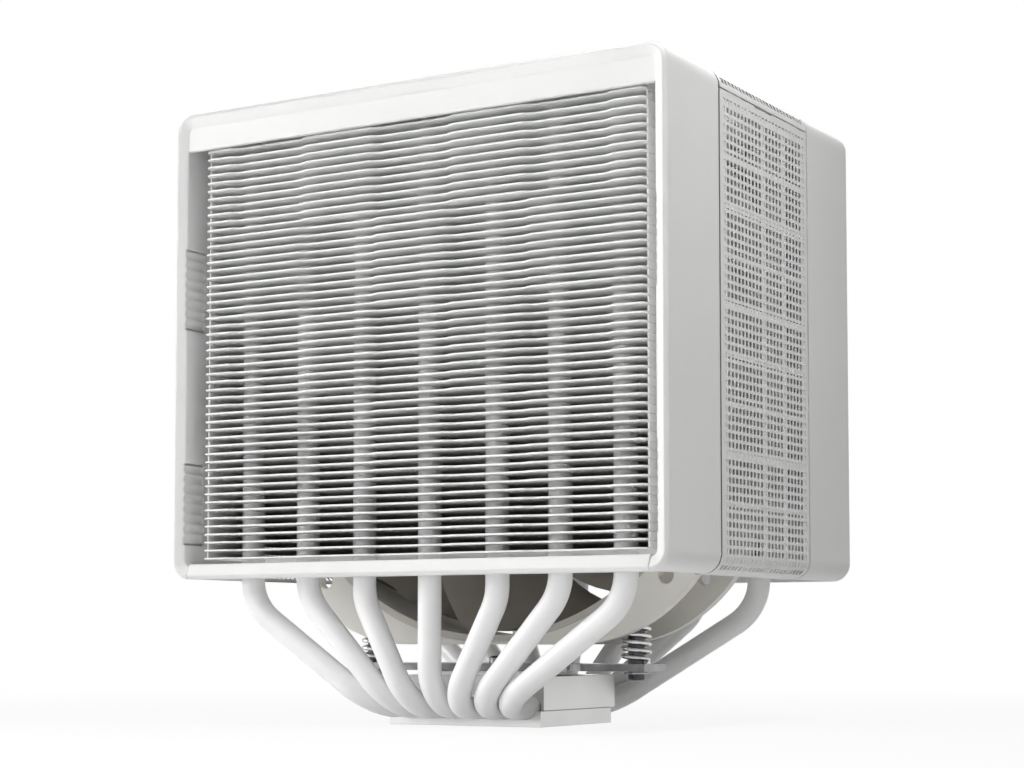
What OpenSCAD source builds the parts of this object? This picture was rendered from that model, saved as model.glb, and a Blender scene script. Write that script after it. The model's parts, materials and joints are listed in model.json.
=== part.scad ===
// Dual-tower CPU air cooler with a square shroud, a slide-in fan and spring screws.
// Millimetres. Origin at the centre of the contact face, +Z up, -Y the chequered fin front.

/* [Fan] */
// Side of the square fan
fan_size = 140; // [139:0.5:141]
// Thickness of the fan
fan_depth = 25; // [24:0.5:26]
// Underside of the fan over the contact face
fan_z = 20.9; // [20.8:0.1:21.4]
// Corner radius of the fan's flanges
fan_corner = 44; // [40:1:46]
// Thickness of each fan flange
fan_flange = 2.6; // [2.2:0.1:3]
// Wall of the round fan duct
duct_wall = 1.8; // [1.4:0.1:2]
// Diameter of the fan hub
hub_d = 42; // [40:1:46]
// Number of fan blades
blade_count = 9; // [7:1:9]
// Turn of each blade over its height, in degrees
blade_twist = 34; // [26:1:36]
// Gap between blade tips and duct
tip_gap = 1.1; // [0.8:0.1:2]
// Diameter of the fan shaft
shaft_d = 3; // [2.5:0.1:3.5]
// Thickness of the rubber corner pads
pad_t = 0.5; // [0.3:0.1:0.6]

/* [Shroud] */
// Depth of the shroud from front rim to rear rim
box_d = 112.4; // [111:0.2:116]
// Shift of the shroud's middle behind the contact face's centre
box_shift = 8.5; // [8:0.1:9]
// Lower edge of the shroud over the contact face
box_z = 38.1; // [37.5:0.1:39]
// Outer corner radius of the shroud
corner_r = 5; // [4.6:0.1:6]
// Wall of the front and rear shrouds
rim = 3.4; // [2.8:0.1:3.6]
// Bevel on the outer edge of the rims
rim_bevel = 0.9; // [0.4:0.1:1.2]
// Room between the fan's side and the outer face of the shroud
side_room = 3.5; // [3.3:0.1:4.5]
// Wall of the perforated panels and the cover
panel_t = 1.2; // [0.9:0.1:1.4]
// Depth of the perforated band between the two shrouds
band_d = 54.4; // [52:0.4:58]
// Gap between the fan's top and the cover
cover_gap = 0.4; // [0.3:0.1:0.8]
// Open seam between neighbouring shroud pieces
seam = 0.4; // [0.2:0.1:0.6]
// Depth of the lower bars
lower_bar_d = 7; // [5:0.5:8]
// Slope of the rims' front faces, from the outer to the inner edge
rim_slope = 1.3; // [0.4:0.1:1.6]
// Height of the fascia under the top rims
fascia_h = 6.3; // [5:0.1:6.4]
// Height of the lower bars
lower_bar_h = 3.9; // [3.3:0.1:4.2]
// Centre distance of the perforations
hole_pitch = 4.2; // [4:0.1:5.4]
// Side of the square perforations
hole_side = 2.8; // [2.2:0.1:3]
// Width of the fingernail notch under the cover
notch_w = 11.5; // [8:0.5:16]

/* [Fins] */
// Fins in each tower
fin_count = 52; // [48:1:52]
// Thickness of the fin sheet
fin_t = 0.4; // [0.3:0.05:0.5]
// Room between the fins' sides and the outer face of the shroud
fin_room = 7.5; // [7.2:0.1:8.4]
// Distance of the raised fin edges behind the shroud's rims
fin_recess = 3.4; // [2:0.1:4]
// Height of the chequer steps in the fin edges
fin_step = 1.2; // [0.8:0.1:2.4]
// Width of one chequer column, as a share of the fins' width
column_share = 0.171; // [0.16:0.001:0.178]
// Fins in one chequer row
row_fins = 11; // [8:1:14]
// Gap between a tower and the fan
tower_gap = 0.8; // [0.7:0.1:1.2]

/* [Heat pipes] */
// Diameter of the heat pipes
pipe_d = 6; // [5.6:0.1:6]
// Centre distance of the pipes in the base
pipe_pitch = 6.15; // [6.15:0.01:6.2]
// Inset of the front legs behind the front rim
front_inset = 12.7; // [12.4:0.1:13]
// Inset of the rear legs before the rear rim
rear_inset = 22.7; // [22.4:0.1:23]
// Metal left under the pipes in the cold plate
plate_floor = 2; // [1.6:0.1:2.4]

/* [Base] */
// Width of the cold plate
plate_w = 46; // [45:0.2:50]
// Depth of the cold plate
plate_d = 37.4; // [34:0.2:38]
// Thickness of the cold plate
plate_t = 4.1; // [3.8:0.1:4.3]
// Depth of the base block
block_d = 38; // [34:0.2:38]
// Height of the base block
block_h = 8.7; // [8.4:0.1:9]
// Height of the land that carries the mounting bar
land_h = 1.2; // [0.9:0.1:1.4]

/* [Mounting bar] */
// Length of the mounting bar
bar_len = 93.2; // [91:0.2:96]
// Width of the bar's ends
bar_w = 11; // [9:0.5:12]
// Thickness of the bar
bar_t = 1.9; // [1.6:0.1:2]
// Width of the bar's middle
bar_mid_w = 20; // [19:0.5:23]
// Length of the bar's middle
bar_mid_len = 50; // [44:1:54]
// Distance between the two spring screws
screw_spread = 81; // [80:0.5:82]
// Outer diameter of the springs
spring_d = 8; // [7.4:0.1:8.2]
// Wire of the springs
spring_wire = 0.9; // [0.7:0.05:1]
// Length of the springs
spring_len = 12.4; // [11.6:0.1:12.6]
// Turns of the springs
spring_turns = 6; // [5:1:6]
// Diameter of the screw shanks
shank_d = 4.4; // [4:0.1:4.8]
// Diameter of the thread hole in each spring screw
thread_d = 2.5; // [2:0.1:2.7]

/* [Hidden] */
$fn = 48;

// Clearances between pieces
seat = 0.03;
slide_fit = 0.15;
turn_fit = 0.05;
fin_fit = 0.12;
spring_room = 0.3;
eps = 0.5;

// Places of the fan and the shroud
fan_front = -(spring_d / 2 + spring_room + fan_flange);
fan_back = fan_front + fan_depth;
fan_mid_z = fan_z + fan_size / 2;
box_w = fan_size + 2 * side_room;
box_top = fan_z + fan_size + cover_gap + panel_t;
box_front = box_shift - box_d / 2;
box_back = box_shift + box_d / 2;
shroud_d = (box_d - band_d) / 2 - seam;
corner_x = box_w / 2 - corner_r;

// Inner walls of the shrouds: zones of grooves, and pads that reach the fin towers
zone_starts = [9.3, 66.8];
groove_count = 8;
groove_pitch = 2.66;
groove_w = 2.4;
groove_depth = 0.6;
groove_start = 1.2;
groove_len = 7.6;
slit_h = 0.4;
slit_depth = 0.9;
fascia_t = 1.4;
fascia_inset = 0.1;
pad_y = 17.5;
pad_len = 8;
zone_h = groove_count * groove_pitch;
groove_r = (groove_w * groove_w / 4 + groove_depth * groove_depth) / (2 * groove_depth);

// Perforated panels
perf_edge = 3.7;
panel_rib_h = 1.2;
panel_rib_gap = 13;
panel_rib_out = side_room - panel_t - 0.7;
foot_len = 2.5;
tab_len = 5;
tab_w = 8;
notch_h = 1.2;

// Fin towers
fin_foot_room = 1.85;
fin_head_room = 6.75;
fin_w = box_w - 2 * fin_room;
column_w = fin_w * column_share;
fin_z = box_z + rim + fin_foot_room;
fin_top = box_top - rim - fin_head_room;
fin_pitch = (fin_top - fin_z) / (fin_count - 1);
fin_columns = 7;
fin_corner = 1.6;
step_run = 2.4;
flange_start = 3;
flange_stop = fin_corner + 0.6;
front_fin_d = fan_front - tower_gap - (box_front + fin_recess);
rear_fin_d = box_back - fin_recess - (fan_back + tower_gap);

// Heat pipes, from the middle pipe outwards
leg_share = [0, 0.1515, 0.2879, 0.4242];
leg_x = leg_share * fin_w;
front_bend_drop = [0, 5.6, 4.6, 6.6];
front_pull = [0, 0, 1.4, 2.5];
front_bend_r = [11, 9, 10, 10.5];
rear_bend_drop = 7.6;
rear_pull = [9, 10, 11.5, 13.5];
rear_bend_r = [9, 9, 9, 10];
front_leg_r = 13;
rear_leg_r = 14;
front_leg_y = box_front + front_inset;
rear_leg_y = box_back - rear_inset;
pipe_z = plate_floor + pipe_d / 2;
pipe_top = fin_top + 3.5;
tip_h = 2.2;
bend_swell = 0.06;
bend_lap = 0.4;

// Base and bar
groove_d = pipe_d + 2 * 0.06;
channel_top = pipe_z + 0.9;
channel_w = 6 * pipe_pitch + groove_d + 0.8;
block_w = channel_w + 1.8;
block_shift = 2.2;
land_w = 30;
land_d = 18;
block_top = plate_t + seat + block_h;
bar_z = block_top + land_h + seat;
bar_top = bar_z + bar_t;
neck_r = 3.2;
bar_bevel = 1;
bar_screw_d = 4;
bar_screw_head_d = 6.8;
bar_screw_head_h = 1.9;

// Spring screws
screw_x = screw_spread / 2;
head_z = bar_top + 2 * seat + spring_len;
head_h = 2.8;
head_d = spring_d - 0.2;
shank_low = bar_z - 2.3;
clip_t = 0.5;
clip_z = bar_z - clip_t - 0.2;
clip_d = shank_d + 2.2;
clip_groove_d = shank_d - 0.9;
thread_len = 8;

// Fan insides, along the fan's axis from its front face
duct_r = fan_size / 2 - 0.6 - duct_wall;
fan_hole_r = 2.15;
fan_hole_inset = fan_size / 8;
fan_hole_at = fan_size / 2 - fan_hole_inset;
strut_h = 4;
strut_w = 3.2;
strut_lap = 2;
strut_turn = 28;
web_t = 1.4;
web_len = 4;
web_turn = 22;
hub_front = 1.8;
hub_back = 19.4;
hub_wall = 1.5;
blade_front = 3.2;
blade_back = 18.6;
motor_plate_z = fan_depth - 3.2;
motor_plate_t = 2.6;
boss_d = 10;
bearing_d = 8;
bearing_z = 9.6;
magnet_t = 1.8;
stator_gap = 0.5;
stator_h = 7;
stator_core_t = 2.5;
pole_w = 3.2;
pole_tip_w = 10;
pole_tip_t = 2;
board_t = 1.2;
board_inset = 3;
pad_r = 5.5;
pad_hole_room = 0.2;

function unit(v) = v / norm(v);
// Direction square to d, mirrored on the left, so that both sides build alike
function square_to(d, left) = abs(d[2]) < 0.9 ? unit(cross(d, [0, 0, left ? -1 : 1]))
                                              : unit(cross(d, [1, 0, 0]));
function mirrored(points) = [for (i = [len(points) - 1:-1:0]) [-points[i][0], points[i][1]]];
function arc(c, r, from, to, n) = [for (i = [0:n]) c + r * [cos(from + (to - from) * i / n),
                                                            sin(from + (to - from) * i / n)]];

// Puts children at o with their own axes along x, y and z
module frame_at(o, x, y, z) {
    multmatrix([[x[0], y[0], z[0], o[0]], [x[1], y[1], z[1], o[1]],
                [x[2], y[2], z[2], o[2]], [0, 0, 0, 1]])
        children();
}

// Straight pipe between two points
module run(a, b, d) {
    w = unit(b - a);
    u = square_to(w, a[0] + b[0] < 0);
    frame_at(a, u, cross(w, u), w) cylinder(d = d, h = norm(b - a));
}

// Round bend of radius r at p1, between runs towards p0 and p2
module elbow(p0, p1, p2, r, d) {
    a = unit(p0 - p1);
    b = unit(p2 - p1);
    half = acos(a * b) / 2;
    centre = p1 + unit(a + b) * (r / sin(half));
    ux = unit(p1 + a * (r / tan(half)) - centre);
    uz = unit(cross(b, a));
    frame_at(centre, ux, cross(uz, ux), uz)
        rotate_extrude(angle = 180 - 2 * half) translate([r, 0]) circle(d = d + bend_swell);
}

// Length that a bend takes from the runs at its corner
function cut_back(p, i, r) = let (a = unit(p[i - 1] - p[i]), b = unit(p[i + 1] - p[i]))
    r[i] / tan(acos(a * b) / 2) - bend_lap;

// Pipe along corner points p with bend radius r[i] at each inner point
module bent_pipe(p, r, d) {
    last = len(p) - 1;
    for (i = [0:last - 1]) {
        w = unit(p[i + 1] - p[i]);
        from = i == 0 ? 0 : cut_back(p, i, r);
        to = i + 1 == last ? 0 : cut_back(p, i + 1, r);
        run(p[i] + w * from, p[i + 1] - w * to, d);
    }
    for (i = [1:last - 1]) elbow(p[i - 1], p[i], p[i + 1], r[i], d);
}

// Closed, drawn-in end of a pipe leg
module pipe_tip() {
    r = pipe_d / 2;
    rotate_extrude() polygon([[0, -1], [r * 0.92, -1], [r * 0.92, tip_h * 0.2], [r * 0.78, tip_h * 0.6],
                              [r * 0.4, tip_h * 0.95], [r * 0.15, tip_h], [0, tip_h]]);
}

// One U-shaped pipe; k counts from the middle pipe, negative to the left
module heat_pipe(k) {
    n = abs(k);
    side = sign(k);
    x = side * leg_x[n];
    base_x = k * pipe_pitch;
    leg_end = pipe_top - tip_h;
    front_leg = [[x, front_leg_y, leg_end]];
    front_bend = n == 0 ? [] : [[x, front_leg_y, box_z - front_bend_drop[n]]];
    base = [[base_x, front_leg_y + front_pull[n], pipe_z], [base_x, rear_leg_y - rear_pull[n], pipe_z]];
    rear_leg = [[x, rear_leg_y, box_z - rear_bend_drop], [x, rear_leg_y, leg_end]];
    radii = concat([0], n == 0 ? [] : [front_leg_r], [front_bend_r[n], rear_bend_r[n], rear_leg_r, 0]);
    bent_pipe(concat(front_leg, front_bend, base, rear_leg), radii, pipe_d);
    translate([x, front_leg_y, leg_end]) pipe_tip();
    translate([x, rear_leg_y, leg_end]) pipe_tip();
}

// Round grooves for the seven pipes
module pipe_grooves(from, to) {
    for (k = [-3:3]) translate([k * pipe_pitch, from, pipe_z]) rotate([-90, 0, 0])
        cylinder(d = groove_d, h = to - from);
}

module cold_plate() color([0.86, 0.87, 0.88]) difference() {
    translate([-plate_w / 2, -plate_d / 2, 0]) cube([plate_w, plate_d, plate_t]);
    pipe_grooves(-plate_d / 2 - eps, plate_d / 2 + eps);
}

module base_block() color([0.80, 0.81, 0.82]) difference() {
    back = block_shift + block_d / 2;
    union() {
        translate([-block_w / 2, back - block_d, plate_t + seat]) cube([block_w, block_d, block_h]);
        translate([-land_w / 2, -land_d / 2, block_top - eps]) cube([land_w, land_d, land_h + eps]);
    }
    pipe_grooves(back - block_d - eps, back + eps);
    translate([-channel_w / 2, back - block_d - eps, 0]) cube([channel_w, block_d + 2 * eps, channel_top]);
    translate([0, 0, channel_top + pipe_d / 2]) cylinder(d = bar_screw_d + 2 * slide_fit, h = block_h);
}

// Half outline of the bar, from its right end to the middle of its rear edge
function bar_half() = let (l = bar_len / 2, w = bar_w / 2, m = bar_mid_len / 2, v = bar_mid_w / 2)
    concat([[l, w - bar_bevel], [l - bar_bevel, w]],
           arc([m + neck_r, w + neck_r], neck_r, 270, 180, 5),
           [[m, v - bar_bevel], [m - bar_bevel, v]]);

module mounting_bar() color([0.72, 0.73, 0.74])
    translate([0, 0, bar_z]) linear_extrude(bar_t) difference() {
    upper = concat(bar_half(), mirrored(bar_half()));
    polygon(concat(upper, [for (p = upper) -p]));
    circle(d = bar_screw_d + 2 * slide_fit);
    for (s = [-1, 1]) translate([s * screw_x, 0]) circle(d = shank_d + 2 * slide_fit);
}

module bar_screw() color([0.70, 0.71, 0.72]) difference() {
    r = bar_screw_head_d / 2;
    low = channel_top + pipe_d / 2 + slide_fit;
    top = bar_top + seat + bar_screw_head_h;
    rotate_extrude() polygon([[0, low], [bar_screw_d / 2, low], [bar_screw_d / 2, bar_top + seat],
                              [r, bar_top + seat], [r, top - 0.6], [r - 0.9, top], [0, top]]);
    for (a = [0, 90]) rotate([0, 0, a]) translate([-2, -0.4, top - 1]) cube([4, 0.8, 1 + eps]);
}

// Outline of one fin: v = 0 at the fan, raised columns at v = depth
function fin_end(c) = c == 0 || c == fin_columns - 1;
function fin_edge(depth, c, phase) = fin_end(c) || (c + phase) % 2 == 0 ? depth : depth - fin_step;
function fin_outline(depth, phase) =
    let (w = fin_w / 2, end = fin_edge(depth, 0, phase), c = fin_corner)
    concat([[-w, 0], [w, 0]], arc([w - c, end - c], c, 0, 90, 4),
           [for (i = [1:fin_columns - 1], s = [0.5, -0.5])
               [(fin_columns / 2 - i) * column_w + s * step_run,
                fin_edge(depth, s > 0 ? i - 1 : i, phase)]],
           arc([c - w, end - c], c, 90, 180, 4));

// One folded fin with holes for the pipe legs
module fin(depth, leg_v, phase) {
    linear_extrude(fin_t) difference() {
        polygon(fin_outline(depth, phase));
        for (k = [-3:3]) translate([sign(k) * leg_x[abs(k)], leg_v]) circle(d = pipe_d + 2 * fin_fit);
    }
    for (x = [-fin_w / 2, fin_w / 2 - fin_t]) translate([x, flange_start, 0])
        cube([fin_t, depth - flange_start - flange_stop, fin_pitch - fin_fit]);
}

// Stack of fins; the chequer phase changes every row_fins from the top
module tower(depth, leg_v) {
    for (i = [0:fin_count - 1]) translate([0, 0, fin_z + i * fin_pitch])
        fin(depth, leg_v, floor((fin_count - 1 - i) / row_fins) % 2);
}

module front_fins() color([0.90, 0.90, 0.90]) translate([0, fan_front - tower_gap, 0])
    rotate([0, 0, 180]) tower(front_fin_d, fan_front - tower_gap - front_leg_y);

module rear_fins() color([0.90, 0.90, 0.90]) translate([0, fan_back + tower_gap, 0])
    tower(rear_fin_d, rear_leg_y - fan_back - tower_gap);

// Section of a shroud wall: x from the inner to the outer face, y behind the rim
module wall_section(depth, height) {
    polygon([[0, rim_slope], [height - rim_bevel, 0], [height, rim_bevel], [height, depth], [0, depth]]);
}

// Straight wall from point o along the direction z, outer face towards x
module wall(o, x, z, length, depth, height = rim) {
    frame_at(o, x, [0, 1, 0], z) linear_extrude(length) wall_section(depth, height);
}

// Quarter-round wall about o, from the direction x to the direction y
module wall_corner(o, x, y, depth) {
    frame_at(o, x, y, [0, 1, 0]) rotate_extrude(angle = 90) translate([corner_r - rim, 0])
        wall_section(depth, rim);
}

// Zones of round grooves in an inner side wall, each between two slits
module wall_grooves(s) {
    inner = box_w / 2 - rim;
    for (z = zone_starts) {
        for (i = [0:groove_count - 1])
            translate([s * (inner + groove_depth - groove_r), box_front + groove_start,
                       box_z + z + (i + 0.5) * groove_pitch])
                rotate([-90, 0, 0]) cylinder(r = groove_r, h = groove_len, $fn = 24);
        for (end = [0, zone_h])
            translate([s > 0 ? inner - eps : -inner - slit_depth, box_front + groove_start,
                       box_z + z + end - slit_h / 2])
                cube([slit_depth + eps, groove_len, slit_h]);
    }
}

// Pads on an inner side wall that end at the tower's folded sides
module wall_pads(s) {
    inner = box_w / 2 - rim;
    reach = inner - fin_w / 2 - fin_fit;
    for (z = zone_starts)
        translate([s > 0 ? inner - reach : -inner - eps, box_front + pad_y, box_z + z])
            cube([reach + eps, pad_len, zone_h]);
}

// Front shroud: top wall, side walls, four corners and the fascia, open below
module shroud_walls() {
    up = [0, 0, 1];
    right = [1, 0, 0];
    low_z = box_z + corner_r;
    high_z = box_top - corner_r;
    wall([corner_x, box_front, box_top - rim], up, -right, 2 * corner_x, shroud_d);
    wall([box_w / 2 - rim, box_front, low_z], right, up, high_z - low_z, shroud_d);
    wall([rim - box_w / 2, box_front, high_z], -right, -up, high_z - low_z, shroud_d);
    wall_corner([corner_x, box_front, high_z], up, right, shroud_d);
    wall_corner([-corner_x, box_front, high_z], -right, up, shroud_d);
    wall_corner([-corner_x, box_front, low_z], -up, -right, shroud_d);
    wall_corner([corner_x, box_front, low_z], right, -up, shroud_d);
    translate([-box_w / 2 + rim - eps, box_front + rim_slope + fascia_inset, box_top - rim - fascia_h])
        cube([box_w - 2 * rim + 2 * eps, fascia_t, fascia_h + eps]);
    for (s = [-1, 1]) wall_pads(s);
}

module shroud() difference() {
    shroud_walls();
    for (s = [-1, 1]) wall_grooves(s);
}

// Bar that closes the shroud's lower side between its corners
module lower_bar() {
    half = corner_x - seam / 4;
    wall([-half, box_front, box_z + lower_bar_h], [0, 0, -1], [1, 0, 0], 2 * half, lower_bar_d, lower_bar_h);
}

// Turns a front piece about the shroud's middle to the rear
module to_rear() {
    translate([0, 2 * box_shift, 0]) rotate([0, 0, 180]) children();
}

module front_shroud() color([0.93, 0.93, 0.93]) shroud();

module front_lower_bar() color([0.95, 0.95, 0.95]) lower_bar();

module rear_shroud() color([0.93, 0.93, 0.93]) to_rear() shroud();

module rear_lower_bar() color([0.95, 0.95, 0.95]) to_rear() lower_bar();

// Rows of perforations, centred in a field of width w and height h
module perforations(w, h) {
    nx = floor((w - 2 * perf_edge) / hole_pitch);
    ny = floor((h - 2 * perf_edge) / hole_pitch);
    for (i = [0:nx], j = [0:ny])
        translate([(i - nx / 2) * hole_pitch, (j - ny / 2) * hole_pitch]) square(hole_side, center = true);
}

// Quarter-round edge sheet of outer radius corner_r, in the first quadrant
module edge_sheet() {
    intersection() {
        difference() {
            circle(r = corner_r);
            circle(r = corner_r - panel_t);
        }
        square(corner_r + eps);
    }
}

// Right side panel: perforated wall, rounded foot and ribs behind
module side_panel() {
    low = box_z + corner_r;
    high = box_top - corner_r - seam;
    inner = box_w / 2 - panel_t;
    right = [1, 0, 0];
    deep = [0, 1, 0];
    up = [0, 0, 1];
    difference() {
        frame_at([inner, box_shift, (low + high) / 2], deep, up, right)
            linear_extrude(panel_t) difference() {
                square([band_d, high - low], center = true);
                perforations(band_d, high - low);
            }
        translate([inner - eps, box_shift - notch_w / 2, high - notch_h])
            cube([panel_t + 2 * eps, notch_w, notch_h + eps]);
    }
    frame_at([corner_x, box_shift - band_d / 2, low], right, -up, deep) linear_extrude(band_d) {
        edge_sheet();
        translate([-foot_len, corner_r - panel_t]) square([foot_len, panel_t]);
    }
    for (z = [low + 1.5:panel_rib_gap:high - 2 * perf_edge])
        translate([inner - panel_rib_out, box_shift - band_d / 2, z])
            cube([panel_rib_out + panel_t / 2, band_d, panel_rib_h]);
}

module side_panel_left() color([0.92, 0.92, 0.92]) to_rear() side_panel();

module side_panel_right() color([0.92, 0.92, 0.92]) side_panel();

// Perforated cover with two rounded edges and tabs behind the side panels
module top_cover() color([0.93, 0.93, 0.93]) {
    up = [0, 0, 1];
    translate([0, box_shift, box_top - panel_t]) linear_extrude(panel_t) difference() {
        square([2 * corner_x, band_d], center = true);
        perforations(2 * corner_x, band_d);
    }
    for (s = [-1, 1]) {
        frame_at([s * corner_x, box_shift + s * band_d / 2, box_top - corner_r], [s, 0, 0], up, [0, -s, 0])
            linear_extrude(band_d) edge_sheet();
        for (y = [-1, 1])
            translate([s * (box_w / 2 - panel_t) - (s > 0 ? 0.9 : -0.1),
                       box_shift + y * band_d / 3 - tab_w / 2, box_top - corner_r - tab_len])
                cube([0.8, tab_w, tab_len + 1.6]);
    }
}

// Puts the fan's axis, drawn along +Z from its front face, along +Y
module fan_place() {
    translate([0, fan_front, fan_mid_z]) rotate([-90, 0, 0]) children();
}

module fan_outline() {
    straight = fan_size - 2 * fan_corner;
    square([fan_size, straight], center = true);
    square([straight, fan_size], center = true);
    for (x = [-1, 1], y = [-1, 1]) translate([x * straight / 2, y * straight / 2])
        circle(r = fan_corner, $fn = 96);
}

module fan_flange_plate() {
    linear_extrude(fan_flange) difference() {
        fan_outline();
        circle(r = duct_r + duct_wall + seat, $fn = 96);
        for (x = [-1, 1], y = [-1, 1]) translate([x * fan_hole_at, y * fan_hole_at]) circle(r = fan_hole_r);
    }
}

module fan_front_flange() color([0.72, 0.70, 0.67]) fan_place() fan_flange_plate();

module fan_rear_flange() color([0.72, 0.70, 0.67]) fan_place()
    translate([0, 0, fan_depth - fan_flange]) fan_flange_plate();

module fan_duct() color([0.72, 0.70, 0.67]) fan_place() linear_extrude(fan_depth) difference() {
    circle(r = duct_r + duct_wall, $fn = 96);
    circle(r = duct_r, $fn = 96);
}

// Webs between the two flanges, two at each corner
module fan_webs() color([0.72, 0.70, 0.67]) fan_place()
    for (a = [0:90:270], b = [-web_turn, web_turn]) rotate([0, 0, a + 45 + b])
        translate([duct_r + duct_wall + seat, -web_t / 2, fan_flange + seat])
            cube([web_len, web_t, fan_depth - 2 * fan_flange - 2 * seat]);

// Plate behind the hub on four struts, with the bearing's boss
module fan_motor_mount() color([0.72, 0.70, 0.67]) fan_place() {
    from = hub_d / 2 - strut_lap;
    for (a = [0:90:270]) rotate([0, 0, a + strut_turn])
        translate([from, -strut_w / 2, motor_plate_z + motor_plate_t - strut_h])
            cube([duct_r - 2 * seat - from, strut_w, strut_h]);
    translate([0, 0, motor_plate_z]) cylinder(d = hub_d, h = motor_plate_t);
    translate([0, 0, bearing_z]) linear_extrude(motor_plate_z - bearing_z + eps) difference() {
        circle(d = boss_d);
        circle(d = bearing_d + 2 * turn_fit);
    }
}

// Curved blade footprint, thicker towards the tip
function blade_angle(t) = -22 * t * t;
function blade_side(s) = [for (i = [0:6]) let (
    t = i / 6,
    r = hub_d / 2 - hub_wall / 2 + t * (duct_r - tip_gap - hub_d / 2 + hub_wall / 2),
    a = blade_angle(t) + s * (1.3 + 0.7 * t) / r * 180 / PI) r * [cos(a), sin(a)]];
function blade_outline() = let (b = blade_side(1)) concat(blade_side(-1), [for (i = [6:-1:0]) b[i]]);

module fan_rotor() color([0.42, 0.40, 0.37]) fan_place() {
    r = hub_d / 2;
    bore = shaft_d / 2 + seat;
    floor_z = hub_front + hub_wall;
    rotate_extrude() polygon([[bore, hub_front + 0.8], [bore, bearing_z - 1.2], [3.4, bearing_z - 1.2],
                              [3.4, floor_z], [r - hub_wall, floor_z], [r - hub_wall, hub_back],
                              [r, hub_back], [r, hub_front + 1], [r - 1, hub_front],
                              [0, hub_front], [0, hub_front + 0.8]]);
    for (i = [0:blade_count - 1]) rotate([0, 0, i * 360 / blade_count]) translate([0, 0, blade_front])
        linear_extrude(height = blade_back - blade_front, twist = blade_twist, slices = 6, $fn = 14)
            polygon(blade_outline());
}

module fan_shaft() color([0.75, 0.75, 0.76]) fan_place() translate([0, 0, hub_front + 0.8 + seat])
    cylinder(d = shaft_d, h = motor_plate_z - hub_front - 1.2);

module fan_bearing() color([0.70, 0.56, 0.32]) fan_place() translate([0, 0, bearing_z + seat])
    linear_extrude(motor_plate_z - bearing_z - 2 * seat) difference() {
        circle(d = bearing_d);
        circle(d = shaft_d + 2 * turn_fit);
    }

module fan_magnet() color([0.20, 0.20, 0.21]) fan_place() translate([0, 0, bearing_z - 2])
    linear_extrude(hub_back - bearing_z + 1) difference() {
        circle(r = hub_d / 2 - hub_wall - seat);
        circle(r = hub_d / 2 - hub_wall - magnet_t);
    }

module fan_stator() color([0.55, 0.42, 0.28]) fan_place() translate([0, 0, bearing_z + 0.4])
    linear_extrude(stator_h) difference() {
        pole_r = hub_d / 2 - hub_wall - magnet_t - stator_gap;
        union() {
            circle(r = boss_d / 2 + stator_core_t);
            for (a = [0:60:300]) rotate([0, 0, a]) {
                translate([boss_d / 2 + stator_core_t / 2, -pole_w / 2])
                    square([pole_r - boss_d / 2 - stator_core_t / 2 - pole_tip_t / 2, pole_w]);
                intersection() {
                    difference() {
                        circle(r = pole_r);
                        circle(r = pole_r - pole_tip_t);
                    }
                    translate([0, -pole_tip_w / 2]) square([pole_r + eps, pole_tip_w]);
                }
            }
        }
        circle(d = boss_d + 2 * seat);
    }

module fan_board() color([0.13, 0.30, 0.20]) fan_place() translate([0, 0, motor_plate_z - board_t - seat])
    linear_extrude(board_t) difference() {
        circle(r = hub_d / 2 - board_inset);
        circle(d = boss_d + 2 * slide_fit);
    }

module fan_pads() color([0.55, 0.54, 0.52]) fan_place()
    for (x = [-1, 1], y = [-1, 1])
        translate([x * fan_hole_at, y * fan_hole_at, fan_depth + seat / 2])
            linear_extrude(pad_t) difference() {
                circle(r = pad_r);
                circle(r = fan_hole_r + pad_hole_room);
            }

// Spring screw: slotted head, shank with a clip groove, thread hole from below
module spring_screw(x) translate([x, 0, 0]) difference() {
    r = shank_d / 2;
    g = clip_groove_d / 2;
    h = head_d / 2;
    top = head_z + head_h;
    rotate_extrude() polygon([[thread_d / 2, shank_low], [r - 0.3, shank_low], [r, shank_low + 0.3],
                              [r, clip_z - 0.05], [g, clip_z - 0.05], [g, clip_z + clip_t + 0.05],
                              [r, clip_z + clip_t + 0.05], [r, head_z], [h, head_z], [h, top - 0.8],
                              [h - 0.8, top], [0, top], [0, shank_low + thread_len],
                              [thread_d / 2, shank_low + thread_len]]);
    for (a = [45, 135]) rotate([0, 0, a]) translate([-2.4, -0.5, top - 1.4]) cube([4.8, 1, 1.4 + eps]);
}

module spring_screw_left() color([0.75, 0.75, 0.76]) spring_screw(-screw_x);

module spring_screw_right() color([0.75, 0.75, 0.76]) spring_screw(screw_x);

// Centre line of a spring: straight ends, square to the bar and the head
spring_r = (spring_d - spring_wire) / 2;
spring_low = bar_top + seat;
spring_rings = 8 * spring_turns;
spring_rise = spring_len - 2 * spring_wire;
spring_coil = [for (i = [0:spring_rings]) let (a = 45 * i, t = i / spring_rings)
    [spring_r * cos(a), spring_r * sin(a), spring_low + spring_wire + t * spring_rise]];
spring_path = concat([[spring_r, 0, spring_low]], spring_coil,
                     [[spring_r, 0, spring_low + spring_len]]);
spring_sides = 6;

// Least gap of the spring to itself, between points more than half a turn apart
spring_gap = min([for (i = [0:spring_rings - 5], j = [i + 5:spring_rings])
    norm(spring_coil[i] - spring_coil[j])]) - spring_wire;
echo(spring_gap = spring_gap);

// Direction of the wire at each point of its path
function wire_way(i) = let (n = len(spring_path) - 1)
    i == 0 || i == n ? [0, 0, 1] : unit(unit(spring_path[i + 1] - spring_path[i])
                                        + unit(spring_path[i] - spring_path[i - 1]));

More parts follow.
